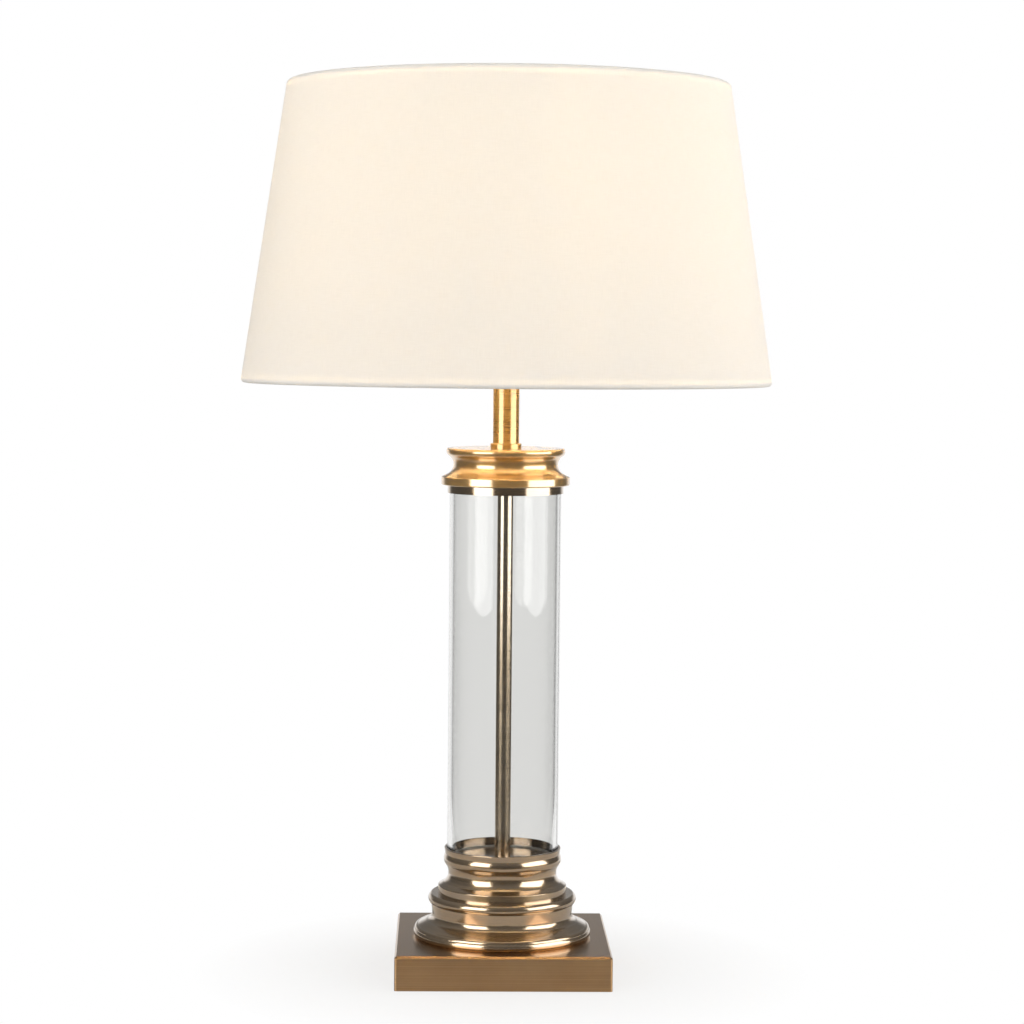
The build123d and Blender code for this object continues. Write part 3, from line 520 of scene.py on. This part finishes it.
class LAMP_OT_base_fittings(Operator):
    """Finish the weight, the cord inlet and the small steel fittings."""

    bl_idname = "lamp.base_fittings"
    bl_label = "Base fittings"

    def execute(self, context):
        iron = plain_metal(
            "ballast_iron_finish", (0.16, 0.155, 0.15), (0.09, 0.08, 0.075),
            roughness=0.6, scale=90.0)
        set_finish(iron, "ballast")
        zinc = plain_metal(
            "zinc_steel_finish", (0.62, 0.61, 0.58), (0.48, 0.47, 0.45),
            roughness=0.33, scale=240.0)
        set_finish(
            zinc, "stem_washer", "stem_lock_washer", "stem_nut",
            "holder_grub_screw", "terminal_screws")
        black = moulded_plastic(
            "black_plastic_finish", (0.022, 0.021, 0.020),
            roughness=0.42, grain=1800.0, depth=0.00003)
        set_finish(black, "cord_inlet_bush")
        return {"FINISHED"}


class LAMP_OT_base_pad(Operator):
    """Model the felt pad under the plinth, with its rounded edge."""

    bl_idname = "lamp.base_pad"
    bl_label = "Base pad"

    def execute(self, context):
        low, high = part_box("base_pad")
        side, thickness = high.x - low.x, high.z - low.z
        deselect()
        bpy.ops.mesh.primitive_grid_add(
            x_subdivisions=32, y_subdivisions=32, size=side, location=(0, 0, 0))
        pad = context.object
        pad.name = "felt_pad"
        pad.data.name = "felt_pad"
        bpy.ops.object.mode_set(mode="EDIT")
        bpy.ops.mesh.select_all(action="SELECT")
        bpy.ops.transform.translate(value=(0, 0, low.z))
        bpy.ops.object.mode_set(mode="OBJECT")
        thicken(pad, thickness, 1.0)
        edge = pad.modifiers.new("edge", "BEVEL")
        edge.width = thickness / 4
        edge.segments = 3
        edge.limit_method = "ANGLE"
        bpy.ops.object.modifier_apply(modifier=edge.name)
        bpy.ops.object.shade_smooth_by_angle(angle=SMOOTH_ANGLE)
        felt = moulded_plastic(
            "black_felt_finish", (0.020, 0.019, 0.019), roughness=0.92, grain=2400.0, depth=0.00025)
        felt.node_tree.nodes["Principled BSDF"].inputs["Sheen Weight"].default_value = 0.4
        pad.data.materials.append(felt)
        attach(pad, "stand")
        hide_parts("base_pad")
        return {"FINISHED"}


class LAMP_OT_lampholder(Operator):
    """Finish the lampholder, its switch and the shade ring."""

    bl_idname = "lamp.lampholder"
    bl_label = "Lampholder"

    def execute(self, context):
        black = moulded_plastic(
            "holder_plastic_finish", (0.020, 0.019, 0.018),
            roughness=0.33, grain=1800.0, depth=0.00003)
        set_finish(black, "holder_skirt", "shade_ring", "switch_knob")
        ceramic = moulded_plastic(
            "white_ceramic_finish", (0.74, 0.72, 0.67), roughness=0.30, grain=900.0, depth=0.00003)
        set_finish(ceramic, "holder_insert")
        contact = plain_metal(
            "contact_brass_finish", (0.72, 0.52, 0.26), (0.55, 0.37, 0.17),
            roughness=0.30, scale=260.0)
        set_finish(contact, "screw_shell", "centre_contact", "switch_shaft")
        return {"FINISHED"}


class LAMP_OT_bulb(Operator):
    """Finish the lit bulb: opal envelope, screw cap and inner stem."""

    bl_idname = "lamp.bulb"
    bl_label = "Bulb"

    def execute(self, context):
        set_finish(self.opal_glass(context.scene.lamp_bulb), "bulb_envelope")
        nickel = plain_metal(
            "cap_nickel_finish", (0.66, 0.64, 0.60), (0.52, 0.50, 0.46),
            roughness=0.28, scale=300.0)
        set_finish(nickel, "bulb_cap", "bulb_tip_contact")
        black_glass = moulded_plastic(
            "black_glass_finish", (0.015, 0.015, 0.017), roughness=0.12, grain=700.0, depth=0.00002)
        set_finish(black_glass, "bulb_insulator")
        stem = moulded_plastic(
            "stem_glass_finish", (0.82, 0.84, 0.83), roughness=0.10, grain=400.0, depth=0.00002)
        stem.node_tree.nodes["Principled BSDF"].inputs["Transmission Weight"].default_value = 0.8
        set_finish(stem, "bulb_stem")
        filament = moulded_plastic(
            "filament_finish", (0.90, 0.62, 0.18), roughness=0.55, grain=1200.0, depth=0.00003)
        set_finish(filament, "filament_cluster")
        return {"FINISHED"}

    def opal_glass(self, bulb):
        """Opal glass lit from inside."""
        material, tree, shader = new_finish("opal_glass_finish")
        place = object_place(tree)
        haze = noise(tree, place, 45.0, detail=3.0)
        shader.inputs["Base Color"].default_value = (0.88, 0.86, 0.82, 1.0)
        put(tree, shader.inputs["Roughness"], spread(tree, haze, 0.22, 0.34))
        dimmer = tuple(0.97 * part for part in bulb.glow)
        glow = blend_colours(tree, haze, rgba(dimmer), rgba(bulb.glow))
        put(tree, shader.inputs["Emission Color"], glow)
        shader.inputs["Emission Strength"].default_value = bulb.strength
        emboss(tree, shader, noise(tree, place, 1600.0), strength=0.2, depth=0.00003)
        return material


def thin_cloth(name, base, transmission, pitch, depth):
    """Woven cloth or film that lets light through."""
    material, tree, shader = new_finish(name)
    parts = add(tree, "SeparateXYZ", {0: object_place(tree)})
    turn = maths(tree, "ARCTAN2", parts.outputs[0], maths(tree, "MULTIPLY", parts.outputs[1], -1.0))
    threads = round(THREAD_RADIUS * 2 * math.pi / pitch)
    around = maths(tree, "MULTIPLY", turn, threads / (2 * math.pi))
    up = maths(tree, "MULTIPLY", parts.outputs[2], 1.0 / pitch)
    along = maths(tree, "MULTIPLY", around, SLUB_STRETCH)
    slub_place = add(tree, "CombineXYZ", {0: along, 1: up})
    slub_weft = noise(tree, slub_place.outputs[0], 1.0, detail=3.0)
    along = maths(tree, "MULTIPLY", up, SLUB_STRETCH)
    slub_place = add(tree, "CombineXYZ", {0: around, 1: along})
    slub_warp = noise(tree, slub_place.outputs[0], 1.0, detail=3.0)
    warp = maths(tree, "ABSOLUTE", maths(tree, "SINE", maths(tree, "MULTIPLY", around, math.pi)))
    weft = maths(tree, "ABSOLUTE", maths(tree, "SINE", maths(tree, "MULTIPLY", up, math.pi)))
    warp = maths(tree, "MULTIPLY", warp, slub_warp)
    weave = maths(tree, "ADD", warp, maths(tree, "MULTIPLY", weft, slub_weft))
    shadow = tuple(0.955 * part for part in base)
    slubs = maths(tree, "MULTIPLY", maths(tree, "ADD", slub_weft, slub_warp), 0.5)
    thick = spread(tree, slubs, 0.0, 1.0, from_low=0.35, from_high=0.65)
    mixed = blend_colours(tree, thick, rgba(shadow), rgba(base))
    put(tree, shader.inputs["Base Color"], mixed)
    put(tree, shader.inputs["Roughness"], spread(tree, slubs, 0.80, 0.95))
    shader.inputs["Specular IOR Level"].default_value = 0.15
    relief = emboss(tree, shader, weave, strength=0.35, depth=depth)
    through = add(tree, "BsdfTranslucent", {"Color": mixed, "Normal": relief})
    mix = add(tree, "MixShader", {0: transmission, 1: shader.outputs[0], 2: through.outputs[0]})
    tree.links.new(mix.outputs[0], tree.nodes["Material Output"].inputs["Surface"])
    return material


def rolled_cloth(ring_r, ring_z, roll, start, turn):
    """Points (r, z) of cloth that rolls round a ring wire, from an angle on through a turn."""
    points = []
    for step in range(HEM_STEPS + 1):
        angle = start + turn * step / HEM_STEPS
        points.append((ring_r + roll * math.cos(angle), ring_z + roll * math.sin(angle)))
    return points


class LAMP_OT_shade_cloth(Operator):
    """Model the cloth of the shade with both rolled hems, and the second skin over it."""

    bl_idname = "lamp.shade_cloth"
    bl_label = "Shade cloth"

    def execute(self, context):
        shade = context.scene.lamp_shade
        bottom_r, bottom_z = ring_centre("bottom_ring", shade.wire_radius)
        top_r, top_z = ring_centre("top_ring", shade.wire_radius)
        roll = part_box("bottom_hem")[1].x - bottom_r
        lean = math.atan2(bottom_r - top_r, top_z - bottom_z)
        points = rolled_cloth(bottom_r, bottom_z, roll, lean - BOTTOM_HEM_TURN, BOTTOM_HEM_TURN)
        start = points[-1]
        top_hem = rolled_cloth(top_r, top_z, roll, lean, TOP_HEM_TURN)
        end = top_hem[0]
        for step in range(1, WALL_STEPS):
            done = step / WALL_STEPS
            points.append(tuple(a + done * (b - a) for a, b in zip(start, end)))
        piece = new_ring("shade_fabric", points + top_hem, shade.segments)
        middle = (start[1] + end[1]) / 2
        face_outwards(piece, lambda centre: abs(centre.z - middle) < WALL_BAND)
        seam = self.lap_seam(piece, shade, start[1], end[1])
        thicken(piece, shade.cloth_thickness, -1.0)
        cloth = thin_cloth(
            "shade_cloth_finish", shade.cloth, shade.cloth_transmission,
            pitch=shade.thread_pitch, depth=0.00008)
        for part in (piece, seam):
            part.data.materials.clear()
            part.data.materials.append(cloth)
            deselect()
            part.select_set(True)
            context.view_layer.objects.active = part
            bpy.ops.object.shade_smooth_by_angle(angle=SMOOTH_ANGLE)
            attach(part, "shade")
        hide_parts("shade_cover", "top_hem", "bottom_hem")
        return {"FINISHED"}

    def lap_seam(self, piece, shade, low, high):
        """Copy the cloth and lift the copy to its own thickness.

        Known fault: only the narrow strip of faces at the back is meant, but all of the cloth is
        copied, so the piece is a second skin right round the shade.
        """
        half = shade.seam_width / 2
        deselect()
        piece.select_set(True)
        bpy.context.view_layer.objects.active = piece
        for face in piece.data.polygons:
            at_back = abs(face.center.x) < half and face.center.y > 0
            face.select = at_back and low < face.center.z < high
        bpy.ops.object.mode_set(mode="EDIT")
        bpy.ops.mesh.duplicate()
        bpy.ops.mesh.separate(type="SELECTED")
        bpy.ops.object.mode_set(mode="OBJECT")
        seam = next(o for o in bpy.context.selected_objects if o != piece)
        seam.name = "shade_lap_seam"
        seam.data.name = "shade_lap_seam"
        thicken(seam, SEAM_THICKNESS, 1.0)
        return seam


class LAMP_OT_shade_frame(Operator):
    """Finish the liner, tape, rings and spider of the shade."""

    bl_idname = "lamp.shade_frame"
    bl_label = "Shade frame"

    def execute(self, context):
        shade = context.scene.lamp_shade
        liner = thin_cloth(
            "shade_liner_finish", shade.liner, shade.cloth_transmission,
            pitch=0.0011, depth=0.00001)
        set_finish(liner, "shade_liner")
        tape = thin_cloth("seam_tape_finish", (0.93, 0.92, 0.90), 0.55, pitch=0.0008, depth=0.00002)
        set_finish(tape, "seam_tape")
        wire = moulded_plastic(
            "white_wire_finish", (0.80, 0.79, 0.77), roughness=0.35, grain=900.0, depth=0.00003)
        set_finish(wire, "spider", "bottom_ring", "top_ring")
        return {"FINISHED"}


class LAMP_OT_stage(Operator):
    """Set the floor, the room, the light panels and the camera."""

    bl_idname = "lamp.stage"
    bl_label = "Stage"

    def execute(self, context):
        stage = context.scene.lamp_stage
        self.set_floor(stage)
        self.set_room(context.scene, stage)
        self.add_panel("left_panel_light", stage.left_panel, turn=46.0, size=(1.16, 1.30))
        self.add_panel("right_panel_light", stage.right_panel, turn=-68.0, size=(1.70, 1.30))
        self.set_camera(context.scene, stage)
        context.scene.view_settings.view_transform = "Standard"
        return {"FINISHED"}

    def sees_background(self, tree, path):
        """1 for camera rays, straight or through the glass, that have met no mirror."""
        no_mirror = maths(tree, "LESS_THAN", path.outputs["Glossy Depth"], 0.5)
        through = maths(tree, "MULTIPLY", path.outputs["Is Transmission Ray"], no_mirror)
        return maths(tree, "MAXIMUM", path.outputs["Is Camera Ray"], through)

    def set_floor(self, stage):
        """Plain floor that shows white, apart from the lamp's shadow."""
        deselect()
        centre = stage.floor_side / 2 - stage.floor_front
        bpy.ops.mesh.primitive_plane_add(size=stage.floor_side, location=(0, centre, 0))
        floor = bpy.context.object
        floor.name = "studio_floor"
        material, tree, shader = new_finish("studio_floor_finish")
        shader.inputs["Base Color"].default_value = rgba(stage.floor_colour)
        shader.inputs["Roughness"].default_value = 0.9
        shader.inputs["Specular IOR Level"].default_value = 0.0
        inputs = {0: object_place(tree), 1: (0.0, centre, 0.0)}
        from_axis = add(tree, "VectorMath", inputs, operation="ADD").outputs[0]
        distance = add(tree, "VectorMath", {0: from_axis}, operation="LENGTH").outputs["Value"]
        edge = stage.floor_front - SHADOW_MARGIN
        near = spread(tree, distance, SHADOW_WHITE, 1.0, SHADOW_START, edge)
        path = add(tree, "LightPath")
        seen = maths(tree, "MULTIPLY", self.sees_background(tree, path), near)
        far = spread(tree, distance, 0.0, 1.0, *MIRRORED_WHITE)
        mirrored = maths(tree, "MULTIPLY", path.outputs["Is Glossy Ray"], far)
        white_share = maths(tree, "MAXIMUM", seen, mirrored)
        white = add(tree, "Emission", {"Color": (1.0, 1.0, 1.0, 1.0), "Strength": 1.0})
        mix = add(tree, "MixShader", {0: white_share, 1: shader.outputs[0], 2: white.outputs[0]})
        tree.links.new(mix.outputs[0], tree.nodes["Material Output"].inputs["Surface"])
        floor.data.materials.append(material)

    def set_room(self, scene, stage):
        """White behind the lamp, a dim room around it, and a bright window for its metal."""
        world = bpy.data.worlds.new("studio_room")
        scene.world = world
        world.use_nodes = True
        tree = world.node_tree
        direction = add(tree, "SeparateXYZ", {0: add(tree, "TexCoord").outputs["Generated"]})
        side, back, up = direction.outputs
        turn = maths(tree, "ABSOLUTE", maths(tree, "ARCTAN2", side, back))
        in_turn = spread(tree, turn, 1.0, 0.0, *WINDOW_TURN)
        in_rise = spread(tree, up, 1.0, 0.0, *WINDOW_RISE)
        window = maths(tree, "MULTIPLY", in_turn, in_rise)
        dim = spread(tree, up, stage.front_room, stage.room, 0.0, FULL_ROOM_RISE)
        mirrored = blend_values(tree, window, dim, 1.0)
        path = add(tree, "LightPath")
        lit = blend_values(tree, path.outputs["Is Diffuse Ray"], mirrored, stage.room)
        seen = blend_values(tree, self.sees_background(tree, path), lit, 1.0)
        background = tree.nodes["Background"]
        background.inputs["Color"].default_value = (1.0, 1.0, 1.0, 1.0)
        put(tree, background.inputs["Strength"], seen)

    def add_panel(self, name, radiance, turn, size):
        """Upright soft panel that faces the lamp, turned this many degrees left of the front."""
        angle = math.radians(turn)
        x, y = -math.sin(angle) * PANEL_DISTANCE, -math.cos(angle) * PANEL_DISTANCE
        bpy.ops.object.light_add(type="AREA", location=(x, y, PANEL_FOOT + size[1] / 2))
        light = bpy.context.object
        light.name = name
        light.rotation_euler = Vector((-x, -y, 0.0)).to_track_quat("-Z", "Y").to_euler()
        light.data.shape = "RECTANGLE"
        light.data.size, light.data.size_y = size
        light.data.energy = radiance * math.pi * size[0] * size[1]
        light.visible_camera = False

    def set_camera(self, scene, stage):
        """Camera at the photograph's angle."""
        bpy.ops.object.camera_add()
        camera = bpy.context.object
        camera.name = "studio_camera"
        turn = (
            Matrix.Rotation(-stage.camera_yaw, 4, "Z")
            @ Matrix.Rotation(math.pi / 2 - stage.camera_pitch, 4, "X")
            @ Matrix.Rotation(stage.camera_roll, 4, "Z")
        )
        camera.matrix_world = Matrix.Translation(stage.camera_place) @ turn
        camera.data.lens = stage.lens
        camera.data.sensor_width = 36.0
        scene.camera = camera


class LAMP_PT_panel(Panel):
    """Lists the pieces of the lamp."""

    bl_label = "Column table lamp"
    bl_idname = "LAMP_PT_panel"
    bl_space_type = "VIEW_3D"
    bl_region_type = "UI"
    bl_category = "Lamp"

    def draw(self, context):
        for operator in PIECES:
            self.layout.operator(operator.bl_idname)


PIECES = (
    LAMP_OT_plinth,
    LAMP_OT_mouldings,
    LAMP_OT_stem_and_neck,
    LAMP_OT_glass_column,
    LAMP_OT_base_fittings,
    LAMP_OT_base_pad,
    LAMP_OT_lampholder,
    LAMP_OT_bulb,
    LAMP_OT_shade_cloth,
    LAMP_OT_shade_frame,
    LAMP_OT_stage,
)

GROUPS = {
    "lamp_brass": LAMP_PG_brass,
    "lamp_shade": LAMP_PG_shade,
    "lamp_glass": LAMP_PG_glass,
    "lamp_bulb": LAMP_PG_bulb,
    "lamp_stage": LAMP_PG_stage,
}


def register():
    for group in GROUPS.values():
        bpy.utils.register_class(group)
    for name, group in GROUPS.items():
        setattr(bpy.types.Scene, name, PointerProperty(type=group))
    for operator in PIECES:
        bpy.utils.register_class(operator)
    bpy.utils.register_class(LAMP_PT_panel)


def unregister():
    bpy.utils.unregister_class(LAMP_PT_panel)
    for operator in reversed(PIECES):
        bpy.utils.unregister_class(operator)
    for name, group in GROUPS.items():
        delattr(bpy.types.Scene, name)
        bpy.utils.unregister_class(group)


def main():
    register()
    for operator in PIECES:
        group, name = operator.bl_idname.split(".")
        getattr(getattr(bpy.ops, group), name)()


if __name__ == "__main__":
    main()
